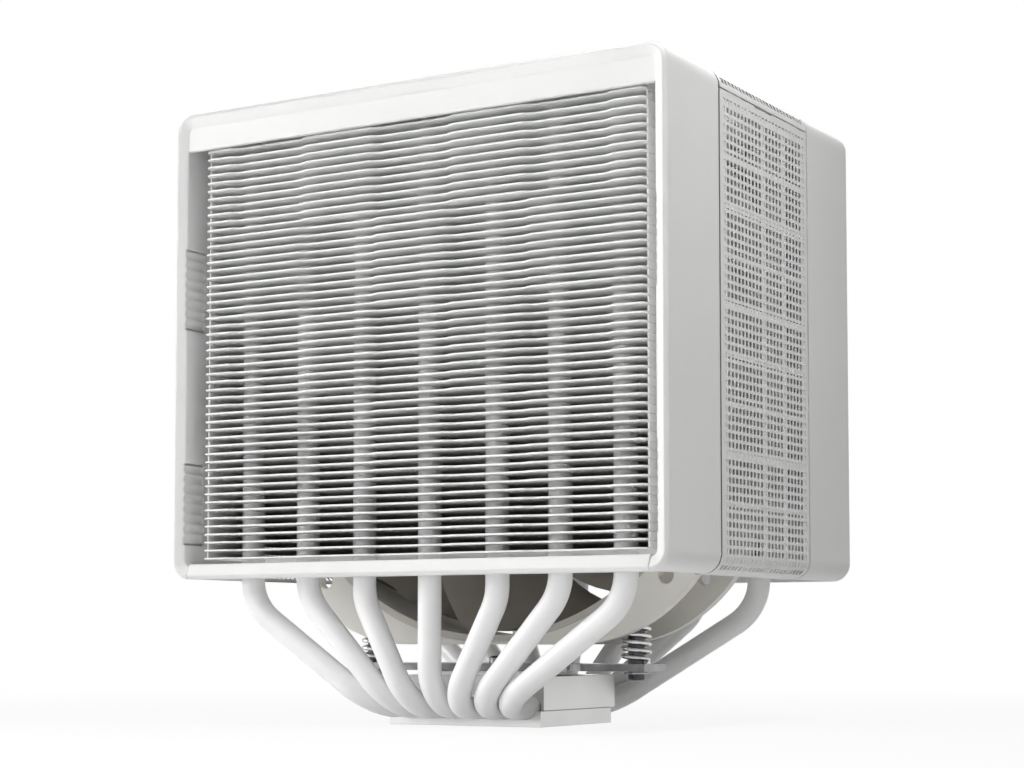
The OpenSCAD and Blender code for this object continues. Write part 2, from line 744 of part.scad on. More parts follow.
// Ring of wire points about path point i, outward first
function wire_ring(i) = let (p = spring_path[i], w = wire_way(i), out = unit([p[0], p[1], 0]),
                             u = unit(out - w * (out * w)), v = cross(w, u))
    [for (s = [0:spring_sides - 1]) let (a = 360 * s / spring_sides)
        p + spring_wire / 2 * (cos(a) * u + sin(a) * v)];

module screw_spring(x) {
    n = len(spring_path);
    m = spring_sides;
    skin = [for (i = [0:n - 2], s = [0:m - 1], half = [0, 1]) let (t = (s + 1) % m)
        half == 0 ? [i * m + s, (i + 1) * m + s, (i + 1) * m + t]
                  : [i * m + s, (i + 1) * m + t, i * m + t]];
    ends = [for (s = [1:m - 2], top = [0, 1])
        top == 0 ? [0, s, s + 1] : [(n - 1) * m, (n - 1) * m + s + 1, (n - 1) * m + s]];
    translate([x, 0, 0]) polyhedron([for (i = [0:n - 1]) each wire_ring(i)], concat(skin, ends));
}

module screw_spring_left() color([0.78, 0.78, 0.79]) screw_spring(-screw_x);

module screw_spring_right() color([0.78, 0.78, 0.79]) screw_spring(screw_x);

// Open ring that holds a spring screw under the bar
module retaining_clip(x) translate([x, 0, clip_z]) linear_extrude(clip_t) difference() {
    circle(d = clip_d);
    circle(d = clip_groove_d + 2 * turn_fit);
    translate([-1.1, 0]) square([2.2, clip_d]);
}

module retaining_clip_left() color([0.45, 0.45, 0.46]) retaining_clip(-screw_x);

module retaining_clip_right() color([0.45, 0.45, 0.46]) retaining_clip(screw_x);

cold_plate();
base_block();
mounting_bar();
bar_screw();
color([0.82, 0.83, 0.84]) heat_pipe(-3);  // heat_pipe_1
color([0.82, 0.83, 0.84]) heat_pipe(-2);  // heat_pipe_2
color([0.82, 0.83, 0.84]) heat_pipe(-1);  // heat_pipe_3
color([0.82, 0.83, 0.84]) heat_pipe(0);  // heat_pipe_4
color([0.82, 0.83, 0.84]) heat_pipe(1);  // heat_pipe_5
color([0.82, 0.83, 0.84]) heat_pipe(2);  // heat_pipe_6
color([0.82, 0.83, 0.84]) heat_pipe(3);  // heat_pipe_7
front_fins();
rear_fins();
front_shroud();
front_lower_bar();
rear_shroud();
rear_lower_bar();
side_panel_left();
side_panel_right();
top_cover();
fan_front_flange();
fan_rear_flange();
fan_duct();
fan_webs();
fan_motor_mount();
fan_rotor();
fan_shaft();
fan_bearing();
fan_magnet();
fan_stator();
fan_board();
fan_pads();
spring_screw_left();
spring_screw_right();
screw_spring_left();
screw_spring_right();
retaining_clip_left();
retaining_clip_right();
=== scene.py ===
import json
import math

import bmesh
import bpy
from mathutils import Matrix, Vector


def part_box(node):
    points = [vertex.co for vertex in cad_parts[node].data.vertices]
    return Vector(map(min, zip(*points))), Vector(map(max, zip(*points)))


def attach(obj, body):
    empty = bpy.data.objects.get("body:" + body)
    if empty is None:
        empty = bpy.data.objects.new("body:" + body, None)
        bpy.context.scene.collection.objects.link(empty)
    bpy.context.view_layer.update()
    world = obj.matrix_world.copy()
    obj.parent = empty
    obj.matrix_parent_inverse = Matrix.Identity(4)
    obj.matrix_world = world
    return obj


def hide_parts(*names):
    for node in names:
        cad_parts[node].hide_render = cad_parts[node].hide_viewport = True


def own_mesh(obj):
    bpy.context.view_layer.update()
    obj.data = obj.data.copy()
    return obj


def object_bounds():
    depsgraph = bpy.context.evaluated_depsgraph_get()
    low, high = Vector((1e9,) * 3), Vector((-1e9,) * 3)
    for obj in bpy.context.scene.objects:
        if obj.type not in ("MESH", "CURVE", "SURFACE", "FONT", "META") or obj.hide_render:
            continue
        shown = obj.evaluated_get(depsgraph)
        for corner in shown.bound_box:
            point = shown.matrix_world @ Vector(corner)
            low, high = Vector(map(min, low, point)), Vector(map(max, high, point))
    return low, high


# A white twin-tower processor cooler. Sizes are millimetres unless a name ends in _m.
MM = 0.001

# The perforated sheet between the two shrouds: holes, and the edges' bends and slots in degrees
COLUMN_PITCH = 2.12
ROW_PITCH = 2.175
HOLE_SIDE = 1.45
HOLE_BEVEL = 0.25
SHEET = 0.2
PANEL_COLUMNS = 24
FIRST_ROW = 1.43
NOTCH_COLUMNS = 5
NOTCH_HEIGHT = 0.4
BLIND_DEPTH = 0.15
EDGE_RADIUS = 5.0
EDGE_STEPS = 6
FOOT_SLOT = (36, 52)
COVER_SLOT = (56, 74)
COVER_MARGIN = 0.5

# The ribs behind a side panel, from its top edge down; the upright ones are set in and less deep
TOP_RIB = (2.25, 3.9)
FIRST_RIB = 16.1
RIB_SPACING = 12.24
RIB_DEPTH = 1.5
RIB_WIDTH = 1.3
RIB_COLUMNS = (1, 12, 18, 24)
UPRIGHT_TOP = 3.0
UPRIGHT_SHALLOWER = 0.3

# The seams beside a sheet, dark with painted shade, and the cover's hem and locating tabs
SEAM = 0.3
SEAM_DEPTH = (0.12, 0.6)
HEM = 1.0
HEM_WIDTH = 0.9
HEM_STEPS = 40
TAB_DEPTH = (0.1, 0.9)
TAB_HALF_WIDTH = 4.0
TAB_OVERLAP = 1.6

# The fan's rotor; angles are in degrees, depths run back from the fan's front face
BLADES = 9
BLADE_TWIST = 34
BLADE_SWEEP = 22
BLADE_DEPTH = (3.2, 18.6)
BLADE_HALF_THICKNESS = (0.9, 0.55)
BLADE_CAMBER = (3.0, 1.8)
BLADE_THINNING = 0.8
BLADE_STATIONS = 14
CHORD_STEPS = 12
TIP_RADIUS = 66.5
HUB_RADIUS = 21.0
HUB_DEPTH = (1.8, 19.4)
HUB_WALL = 1.5
HUB_ROUND = 2.0
HUB_CAP = 0.8
HUB_DISH = ((0, 0.5), (6, 0.5), (6.6, 0.2), (7.2, 0.0))
HUB_BOSS = (1.53, 3.4, 8.4)
HUB_STEPS = 72

# The springs on the mounting screws
SPRING_TURNS = 5
SPRING_WIRE = 1.2
TURN_STEPS = 24
WIRE_SIDES = 10

# The floor: a plain sheet just under the cooler, which shows its shadow between two distances
FLOOR_SIZE_M = 6.0
FLOOR_DROP_M = 0.0002
SHADOW_M = (0.1, 0.4)
SHADOW_WHITE = (0.9, 1.0)


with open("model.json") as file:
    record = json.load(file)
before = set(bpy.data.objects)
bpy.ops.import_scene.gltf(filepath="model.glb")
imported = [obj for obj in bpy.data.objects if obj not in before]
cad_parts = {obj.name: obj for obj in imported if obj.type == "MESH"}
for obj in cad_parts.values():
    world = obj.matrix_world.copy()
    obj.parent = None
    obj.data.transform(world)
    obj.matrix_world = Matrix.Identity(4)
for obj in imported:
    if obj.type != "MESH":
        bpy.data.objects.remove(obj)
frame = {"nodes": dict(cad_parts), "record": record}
cad_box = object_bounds()


# Colours and shader nodes

def colour(code):
    """Linear RGBA of an sRGB hex code."""
    parts = [int(code[i:i + 2], 16) / 255 for i in (1, 3, 5)]
    return [p / 12.92 if p <= 0.04045 else ((p + 0.055) / 1.055) ** 2.4 for p in parts] + [1.0]


def add(tree, kind, inputs=None, **settings):
    """A shader node with its settings; an input is a plain value or the output that feeds it."""
    node = tree.nodes.new("ShaderNode" + kind)
    for name, value in settings.items():
        setattr(node, name, value)
    for name, value in (inputs or {}).items():
        if isinstance(value, bpy.types.NodeSocket):
            tree.links.new(value, node.inputs[name])
        else:
            node.inputs[name].default_value = value
    return node


def finish(name, base, rough, metallic=0.0, **sockets):
    """A material with its Principled shader set, its tree, and object coordinates in metres."""
    made = bpy.data.materials.new(name)
    made.use_nodes = True
    tree = made.node_tree
    shader = tree.nodes["Principled BSDF"]
    shader.inputs["Base Color"].default_value = colour(base)
    shader.inputs["Roughness"].default_value = rough
    shader.inputs["Metallic"].default_value = metallic
    for socket, value in sockets.items():
        shader.inputs[socket.replace("_", " ")].default_value = value
    place = add(tree, "TexCoord").outputs["Object"]
    return made, tree, shader, place


def mottle(tree, shader, place, size, dark, light):
    """Slow drift between two shades, over patches of the given size in millimetres."""
    drift = add(tree, "TexNoise", {"Vector": place, "Scale": 1 / (size * MM), "Detail": 3.0})
    shade = add(tree, "ValToRGB", {"Fac": drift.outputs["Fac"]})
    shade.color_ramp.elements[0].color = colour(dark)
    shade.color_ramp.elements[0].position = 0.3
    shade.color_ramp.elements[1].color = colour(light)
    shade.color_ramp.elements[1].position = 0.7
    tree.links.new(shade.outputs["Color"], shader.inputs["Base Color"])


def grain(tree, shader, place, size, height, strength, soften=0.0):
    """Fine bumps of the given size and height in millimetres, on edges rounded by soften."""
    bumps = add(tree, "TexNoise", {"Vector": place, "Scale": 1 / (size * MM), "Detail": 2.0})
    relief = add(tree, "Bump", {"Height": bumps.outputs["Fac"], "Distance": height * MM,
                                "Strength": strength})
    if soften:
        edge = add(tree, "Bevel", {"Radius": soften * MM}, samples=6)
        tree.links.new(edge.outputs["Normal"], relief.inputs["Normal"])
    tree.links.new(relief.outputs["Normal"], shader.inputs["Normal"])


def moulded_white_abs():
    # Injection-moulded white ABS with a fine spark-eroded texture: soft, wide highlights.
    made, tree, shader, place = finish("moulded_white_abs", "#ececeb", 0.48)
    mottle(tree, shader, place, 60, "#eaeae9", "#eeeeed")
    # The real texture is 0.1 mm; it is drawn at 0.35 mm so that it shows.
    grain(tree, shader, place, 0.35, 0.02, 0.25, soften=0.8)
    return made


def powder_coated_sheet():
    # White powder coat on punched steel sheet: a slight orange peel.
    made, tree, shader, place = finish("powder_coated_sheet", "#ebebea", 0.5)
    mottle(tree, shader, place, 45, "#e9e9e8", "#ededec")
    grain(tree, shader, place, 0.7, 0.02, 0.2)
    return made


def coated_fin_aluminium():
    # Thin white spray coat on aluminium fin stock: matt, with faint rolling streaks across.
    made, tree, shader, place = finish("coated_fin_aluminium", "#fafaf9", 0.6, Specular_IOR_Level=0.2)
    stretch = add(tree, "Mapping", {"Vector": place, "Scale": (0.08, 1.0, 1.0)})
    mottle(tree, shader, stretch.outputs["Vector"], 4, "#f8f8f7", "#fcfcfb")
    grain(tree, shader, place, 0.4, 0.01, 0.2)
    return made


def painted_shade_grey():
    # A dull dark grey on the inner face of the punched sheet and in its seams: painted shade that darkens
    # the holes and the seams.
    made, tree, shader, place = finish("painted_shade_grey", "#6e6e6d", 0.75)
    mottle(tree, shader, place, 20, "#696968", "#737372")
    grain(tree, shader, place, 0.6, 0.02, 0.2)
    return made


def coated_copper_pipe():
    # White coat on drawn copper pipe: smooth, a long soft highlight along each bend.
    made, tree, shader, place = finish("coated_copper_pipe", "#f9f9f9", 0.34)
    mottle(tree, shader, place, 25, "#f7f7f7", "#fbfbfb")
    grain(tree, shader, place, 1.2, 0.02, 0.12)
    return made


def nickel_plated_base():
    # Matt nickel plate on the milled base: pale grey and even, it takes on the white around it.
    made, tree, shader, place = finish("nickel_plated_base", "#cfcfce", 0.38, metallic=1.0)
    mottle(tree, shader, place, 14, "#cccccb", "#d2d2d1")
    grain(tree, shader, place, 0.3, 0.006, 0.2, soften=0.3)
    return made


def zinc_plated_steel():
    # Stamped and zinc-plated steel: bright, cool, slightly cloudy.
    made, tree, shader, place = finish("zinc_plated_steel", "#969697", 0.2, metallic=1.0)
    mottle(tree, shader, place, 3, "#8d8d8e", "#9f9fa0")
    grain(tree, shader, place, 0.5, 0.01, 0.2, soften=0.2)
    return made


def drawn_spring_wire():
    # Bright drawn wire: a narrow highlight, faint draw lines.
    made, tree, shader, place = finish("drawn_spring_wire", "#cfcfce", 0.15, metallic=1.0)
    mottle(tree, shader, place, 1.5, "#c4c4c3", "#d8d8d7")
    grain(tree, shader, place, 0.2, 0.004, 0.2)
    return made


def ivory_pbt():
    # Moulded ivory PBT of the fan's two flanges: dull, with an eroded texture.
    made, tree, shader, place = finish("ivory_pbt", "#f3f0e9", 0.5)
    mottle(tree, shader, place, 30, "#f1eee7", "#f5f2eb")
    grain(tree, shader, place, 0.35, 0.02, 0.25, soften=0.4)
    return made


def shade_dark_screw_steel():
    # Dark steel of the screws: painted shade, standing in for the shadow between the spring's coils; a sharp
    # gloss on its edges.
    made, tree, shader, place = finish("shade_dark_screw_steel", "#47484b", 0.25, metallic=1.0)
    mottle(tree, shader, place, 2, "#3d3e41", "#525356")
    grain(tree, shader, place, 0.3, 0.005, 0.2, soften=0.15)
    return made


def shaded_copy_fan_pbt():
    # The fan's moulded PBT of the duct and motor mount, one moulding with the ivory flanges, drawn a darker
    # warm grey: painted shade for the shade these parts sit in; dull, with an eroded texture.
    made, tree, shader, place = finish("shaded_copy_fan_pbt", "#cdc9c1", 0.55)
    mottle(tree, shader, place, 30, "#cac6be", "#d0ccc4")
    grain(tree, shader, place, 0.35, 0.02, 0.25, soften=0.4)
    return made


def shade_darkened_blade_pbt():
    # Glass-filled PBT of the blades: its own warm grey, darkened with painted shade for the shade they sit
    # in; dull, with faint flow marks.
    made, tree, shader, place = finish("shade_darkened_blade_pbt", "#938d84", 0.5)
    mottle(tree, shader, place, 12, "#8e887f", "#989289")
    grain(tree, shader, place, 0.3, 0.015, 0.25)
    return made


def grey_silicone():
    # Moulded silicone of the corner pads: dull with a soft sheen.
    made, tree, shader, place = finish("grey_silicone", "#9a968f", 0.7, Sheen_Weight=0.2)
    mottle(tree, shader, place, 6, "#949089", "#a09c95")
    grain(tree, shader, place, 0.3, 0.01, 0.2)
    return made


def sintered_bronze():
    # Oil-filled sintered bronze of the bearing: brown, open-grained.
    made, tree, shader, place = finish("sintered_bronze", "#b08d57", 0.4, metallic=1.0)
    mottle(tree, shader, place, 0.6, "#8f7145", "#bd9a64")
    grain(tree, shader, place, 0.25, 0.02, 0.4)
    return made


def bonded_ferrite():
    # Bonded ferrite of the magnet ring: near black, finely grained.
    made, tree, shader, place = finish("bonded_ferrite", "#2b2b2d", 0.6)
    mottle(tree, shader, place, 1.0, "#252527", "#333335")
    grain(tree, shader, place, 0.3, 0.02, 0.4)
    return made


def enamelled_copper():
    # Enamelled copper wound on the stator's poles: fine wire turns 0.4 mm apart.
    made, tree, shader, place = finish("enamelled_copper", "#a2643a", 0.32, metallic=1.0)
    mottle(tree, shader, place, 2.0, "#8f5530", "#b37245")
    turns = add(tree, "TexWave", {"Vector": place, "Scale": 0.3 / (0.4 * MM)},
                bands_direction="Y")
    relief = add(tree, "Bump", {"Height": turns.outputs["Fac"], "Distance": 0.1 * MM,
                                "Strength": 0.5})
    tree.links.new(relief.outputs["Normal"], shader.inputs["Normal"])
    return made


def lacquered_board():
    # Green solder lacquer on glass-fibre board: glossy, with the weave just showing.
    made, tree, shader, place = finish("lacquered_board", "#2c5a40", 0.25)
    mottle(tree, shader, place, 4, "#285339", "#316347")
    grain(tree, shader, place, 0.5, 0.01, 0.2)
    return made


ABS = moulded_white_abs()
SHEET_COAT = powder_coated_sheet()
STEEL = zinc_plated_steel()
PAINTED_SHADE = painted_shade_grey()
FINISHES = {
    "white_fin_coat": coated_fin_aluminium(),
    "white_pipe_coat": coated_copper_pipe(),
    "plated_base": nickel_plated_base(),
    "white_shroud": ABS,
    "white_panel": SHEET_COAT,
    "bar_steel": STEEL,
    "spring_steel": drawn_spring_wire(),
    "fan_plastic": shaded_copy_fan_pbt(),
    "blade_plastic": shade_darkened_blade_pbt(),
    "pad_rubber": grey_silicone(),
    "bearing_brass": sintered_bronze(),
    "magnet_black": bonded_ferrite(),
    "winding_copper": enamelled_copper(),
    "board_green": lacquered_board(),
}


# Mesh pieces

def piece(name, points, faces, slot, body, stands_for, smooth_under=35, shade_picks=None):
    """An object from points in millimetres, riding on a body in place of a CAD node.

    The faces that the last argument picks take a dark grey: painted shade."""
    mesh = bpy.data.meshes.new(name)
    mesh.from_pydata([[c * MM for c in p] for p in points], [], faces)
    tidy = bmesh.new()
    tidy.from_mesh(mesh)
    bmesh.ops.recalc_face_normals(tidy, faces=tidy.faces)
    tidy.to_mesh(mesh)
    tidy.free()
    mesh.shade_smooth()
    mesh.set_sharp_from_angle(angle=math.radians(smooth_under))
    mesh.materials.append(FINISHES[slot])
    if shade_picks:
        mesh.materials.append(PAINTED_SHADE)
        for face in mesh.polygons:
            face.material_index = int(shade_picks(face))
    made = bpy.data.objects.new(name, mesh)
    bpy.context.collection.objects.link(made)
    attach(made, body)
    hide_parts(stands_for)
    return made


def join(*shapes):
    """One list of points and faces from several."""
    points, faces = [], []
    for shape_points, shape_faces in shapes:
        start = len(points)
        points += shape_points
        faces += [[start + i for i in f] for f in shape_faces]
    return points, faces


def block(low, high):
    """A plain bar between two corners, for the ribs behind a sheet."""
    points = [(x, y, z) for x in (low[0], high[0]) for y in (low[1], high[1]) for z in (low[2], high[2])]
    faces = [(0, 1, 3, 2), (4, 6, 7, 5), (0, 4, 5, 1), (2, 3, 7, 6), (0, 2, 6, 4), (1, 5, 7, 3)]
    return points, faces


def thickened(flat, faces, bend):
    """A sheet from its outer faces: bend(u, v, w) puts a point at depth w under the outer face."""
    count = len(flat)
    points = [bend(u, v, 0.0) for u, v in flat] + [bend(u, v, SHEET) for u, v in flat]
    inner = [[i + count for i in reversed(f)] for f in faces]
    edges = {(a, b): None for f in faces for a, b in zip(f, f[1:] + f[:1])}
    walls = [[b, a, a + count, b + count] for a, b in edges if (b, a) not in edges]
    return points, faces + inner + walls


def nowhere(column, row):
    """For a sheet without holes or gaps."""
    return False


def punched(us, vs, bend, hole_at=nowhere, gap_at=nowhere):
    """A sheet over grid lines us and vs, with a square hole in the cells that hole_at names.

    The cells that gap_at names are left open."""
    flat = [(u, v) for u in us for v in vs]
    rows = len(vs)
    faces = []
    half, near = HOLE_SIDE / 2, HOLE_SIDE / 2 - HOLE_BEVEL
    ring = [(half, -near), (half, near), (near, half), (-near, half),
            (-half, near), (-half, -near), (-near, -half), (near, -half)]
    for i in range(len(us) - 1):
        for j in range(rows - 1):
            if gap_at(i, j):
                continue
            low, right = i * rows + j, (i + 1) * rows + j
            corners = [right, right + 1, low + 1, low]
            if not hole_at(i, j):
                faces.append(corners)
                continue
            u, v = (us[i] + us[i + 1]) / 2, (vs[j] + vs[j + 1]) / 2
            first = len(flat)
            flat += [(u + a, v + b) for a, b in ring]
            for k in range(4):
                a, b = first + 2 * k, first + 2 * k + 1
                corner, following = corners[k], corners[(k + 1) % 4]
                faces.append([corner, following, b, a])
                faces.append([following, first + (2 * k + 2) % 8, b])
    return thickened(flat, faces, bend)


def centred(count, pitch):
    """Grid lines of count cells about zero."""
    return [(i - count / 2) * pitch for i in range(count + 1)]


def steps_between(low, high, count):
    """Evenly spaced values from low to high, both included."""
    return [low + (high - low) * k / count for k in range(count + 1)]


def slotted_edge(us, bend, start, slot, stop):
    """The rounded edge of a sheet, with a short slot under each column of holes."""
    lines = [us[0]]
    for low, high in zip(us[1:-1], us[2:-1]):
        lines += [(low + high - HOLE_SIDE) / 2, (low + high + HOLE_SIDE) / 2]
    lines.append(us[-1])
    steps = steps_between(start, slot[0], EDGE_STEPS) + steps_between(slot[1], stop, EDGE_STEPS)
    return punched(lines, steps, bend, gap_at=lambda i, j: i % 2 == 1 and j == EDGE_STEPS)


def in_seam(face, us):
    """Whether a face lies in the seams beside a sheet that ends at the first and last of us."""
    return not us[0] < face.center.y / MM < us[-1]


def corners_mm(node):
    """The low and high corners of a CAD node's box."""
    return [[c / MM for c in corner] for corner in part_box(node)]


def side_panel(side, node):
    """A perforated side panel with a rounded, slotted foot and a lattice of ribs behind."""
    low, high = corners_mm(node)
    front, back, top, bottom = low[1], high[1], high[2], low[2]
    middle = (front + back) / 2
    outer = max(abs(low[0]), abs(high[0]))
    flat_end = bottom + EDGE_RADIUS
    arc = EDGE_RADIUS * math.pi / 2
    foot = outer - EDGE_RADIUS - min(abs(low[0]), abs(high[0]))

    def bend(u, v, w):
        drop = top - v
        if v <= top - flat_end:
            x, z = outer - w, drop
        elif v <= top - flat_end + arc:
            a = (v - top + flat_end) / EDGE_RADIUS
            x = outer - EDGE_RADIUS + (EDGE_RADIUS - w) * math.cos(a)
            z = flat_end - (EDGE_RADIUS - w) * math.sin(a)
        else:
            x, z = outer - EDGE_RADIUS - (v - top + flat_end - arc), bottom + w
        return side * x, u, z

    rows = round((top - flat_end - FIRST_ROW) / ROW_PITCH) + 1
    lines = [middle + u for u in centred(PANEL_COLUMNS, COLUMN_PITCH)]
    us = [front + SEAM] + lines + [back - SEAM]
    vs = [0.0, NOTCH_HEIGHT] + [FIRST_ROW + j * ROW_PITCH for j in range(rows + 1)]
    notch = range(1 + (PANEL_COLUMNS - NOTCH_COLUMNS) // 2, 1 + (PANEL_COLUMNS + NOTCH_COLUMNS) // 2)
    face = punched(us, vs, bend, hole_at=lambda i, j: 0 < i <= PANEL_COLUMNS and j > 1,
                   gap_at=lambda i, j: j == 0 and i in notch)
    slot = [top - flat_end + EDGE_RADIUS * math.radians(a) for a in FOOT_SLOT]
    edge = slotted_edge(us, bend, vs[-1], slot, top - flat_end + arc + foot)
    # The lowest row is blind: a strip just under it closes its holes.
    strip = punched([us[0], us[-1]], steps_between(vs[-2], vs[-1], EDGE_STEPS),
                    lambda u, v, w: bend(u, v, w + BLIND_DEPTH))
    rib_back, rib_face = outer - SHEET - RIB_DEPTH, outer - SHEET / 2
    ribs = [((rib_back, us[0], top - TOP_RIB[1]), (rib_face, us[-1], top - TOP_RIB[0]))]
    z = top - FIRST_RIB
    while z > flat_end:
        ribs.append(((rib_back, us[0], z - RIB_WIDTH / 2), (rib_face, us[-1], z + RIB_WIDTH / 2)))
        z -= RIB_SPACING
    rib_back, rib_face = rib_back + UPRIGHT_SHALLOWER, rib_face - SHEET / 4
    for column in RIB_COLUMNS:
        y = (lines[column - 1] + lines[column]) / 2
        ribs.append(((rib_back, y - RIB_WIDTH / 2, flat_end),
                     (rib_face, y + RIB_WIDTH / 2, top - UPRIGHT_TOP)))
    for y in (front, back - SEAM):
        ribs.append(((outer - SEAM_DEPTH[1], y, flat_end), (outer - SEAM_DEPTH[0], y + SEAM, top)))
    bars = [block((side * a[0], a[1], a[2]), (side * b[0], b[1], b[2])) for a, b in ribs]
    points, faces = join(face, edge, strip, *bars)
    # The seams and the faces turned inward take painted shade, a dark grey that darkens the seams and the
    # holes.
    return piece(node.replace("side", "perforated"), points, faces, "white_panel", "cooler", node,
                 shade_picks=lambda f: in_seam(f, us) or side * f.normal.x < -0.6)


def top_cover():
    """The perforated cover, with both long edges rounded and slotted, and its locating tabs."""
    low, high = corners_mm("top_cover")
    front, back, top = low[1], high[1], high[2]
    middle = (front + back) / 2
    flat = high[0] - EDGE_RADIUS
    arc = EDGE_RADIUS * math.pi / 2

    def bend(u, v, w):
        over = abs(v) - flat
        if over <= 0:
            return v, u, top - w
        a = min(over, arc) / EDGE_RADIUS
        x = flat + (EDGE_RADIUS - w) * math.sin(a)
        return math.copysign(x, v), u, top - EDGE_RADIUS + (EDGE_RADIUS - w) * math.cos(a)

    def hem_bend(u, v, w):
        return bend(u, v, SHEET / 2 + w / SHEET * HEM)

    lines = [middle + u for u in centred(PANEL_COLUMNS, COLUMN_PITCH)]
    us = [front + SEAM] + lines + [back - SEAM]
    vs = centred(int(2 * (flat - COVER_MARGIN) / ROW_PITCH), ROW_PITCH)
    face = punched(us, vs, bend, hole_at=lambda i, j: 0 < i <= PANEL_COLUMNS)
    slot = [flat + EDGE_RADIUS * math.radians(a) for a in COVER_SLOT]
    edges = [slotted_edge(us, bend, s * vs[-1], [s * v for v in slot], s * (flat + arc))
             for s in (-1, 1)]
    # A folded hem stiffens the cover all round.
    reach = flat + arc
    along = [reach * k / HEM_STEPS for k in range(-HEM_STEPS, HEM_STEPS + 1)]
    inside = [us[0] + HEM_WIDTH, us[-1] - HEM_WIDTH]
    hems = [punched([us[0], inside[0]], along, hem_bend), punched([inside[1], us[-1]], along, hem_bend),
            punched(inside, [-reach, HEM_WIDTH - reach], hem_bend),
            punched(inside, [reach - HEM_WIDTH, reach], hem_bend)]
    tabs = []
    for s in (-1, 1):
        x = sorted(s * (high[0] - SHEET - depth) for depth in TAB_DEPTH)
        for y in (-1, 1):
            at = middle + y * (back - front) / 3
            tabs.append(block((x[0], at - TAB_HALF_WIDTH, low[2]),
                              (x[1], at + TAB_HALF_WIDTH, top - EDGE_RADIUS + TAB_OVERLAP)))
    # The seams take painted shade, a dark grey strip in each gap.
    seams = [block((-flat, y, top - SEAM_DEPTH[1]), (flat, y + SEAM, top - SEAM_DEPTH[0]))
             for y in (front, back - SEAM)]
    points, faces = join(face, *edges, *hems, *tabs, *seams)
    return piece("perforated_cover", points, faces, "white_panel", "cover", "top_cover",
                 shade_picks=lambda f: in_seam(f, us))


def revolve(profile, place):
    """A closed ring of faces from (radius, depth) points; radius 0 closes the ring at the axis."""
    points, starts, counts = [], [], []
    for radius, depth in profile:
        starts.append(len(points))
        counts.append(1 if radius == 0 else HUB_STEPS)
        points += [place(radius, 360 * k / HUB_STEPS, depth) for k in range(counts[-1])]
    faces = []
    for i in range(len(profile) - 1):
        for k in range(HUB_STEPS):
            ring = [starts[i] + k % counts[i], starts[i] + (k + 1) % counts[i],
                    starts[i + 1] + (k + 1) % counts[i + 1], starts[i + 1] + k % counts[i + 1]]
            faces.append([p for n, p in enumerate(ring) if p != ring[n - 1]])
    return points, faces


def blend(ends, share):
    """A value between two ends."""
    return ends[0] + share * (ends[1] - ends[0])


def blade(turn, place):
    """A swept, twisted blade with thin rounded edges."""
    start = HUB_RADIUS - HUB_WALL / 2
    size = 2 * CHORD_STEPS
    points = []
    for s in range(BLADE_STATIONS + 1):
        t = s / BLADE_STATIONS
        radius = blend((start, TIP_RADIUS), t)
        slope = math.atan2(BLADE_DEPTH[1] - BLADE_DEPTH[0], math.radians(BLADE_TWIST) * radius)
        for k in range(size):
            c = k / CHORD_STEPS if k <= CHORD_STEPS else 2 - k / CHORD_STEPS
            side = 1 if k < CHORD_STEPS else -1
            swell = blend(BLADE_HALF_THICKNESS, t) * math.sqrt(max(0.0, 1 - (2 * c - 1) ** 4)) * side
            camber = blend(BLADE_CAMBER, t) * math.sin(math.pi * c)
            angle = turn - BLADE_SWEEP * t * t - BLADE_TWIST * c
            angle += math.degrees((swell / math.sin(slope) * BLADE_THINNING + camber) / radius)
            points.append(place(radius, angle, blend(BLADE_DEPTH, c)))
    faces = [[i * size + k, i * size + (k + 1) % size, (i + 1) * size + (k + 1) % size, (i + 1) * size + k]
             for i in range(BLADE_STATIONS) for k in range(size)]
    faces += [list(range(size)), list(range(BLADE_STATIONS * size, (BLADE_STATIONS + 1) * size))]
    return points, faces


def fan_rotor():
    """The hub, with a shallow dish and a rounded front edge, and its ring of blades."""
    low, high = corners_mm("fan_duct")
    front, middle = low[1], (low[2] + high[2]) / 2

    def place(radius, angle, depth):
        a = math.radians(angle)
        return radius * math.cos(a), front + depth, middle - radius * math.sin(a)

    near, far = HUB_DEPTH
    bore, boss, boss_end = HUB_BOSS
    inner, under = HUB_RADIUS - HUB_WALL, near + HUB_WALL
    dish = [(radius, near + depth) for radius, depth in HUB_DISH]
    turns = [math.radians(a) for a in range(0, 91, 15)]
    rounded = [(HUB_RADIUS - HUB_ROUND + HUB_ROUND * math.sin(a), near + HUB_ROUND - HUB_ROUND * math.cos(a))
               for a in turns]
    back = [(HUB_RADIUS, far), (inner, far), (inner, under), (boss, under), (boss, boss_end),
            (bore, boss_end), (bore, near + HUB_CAP), (0, near + HUB_CAP)]
    blades = [blade(i * 360 / BLADES, place) for i in range(BLADES)]
    points, faces = join(revolve(dish + rounded + back, place), *blades)
    return piece("rotor_blades", points, faces, "blade_plastic", "rotor", "fan_rotor")


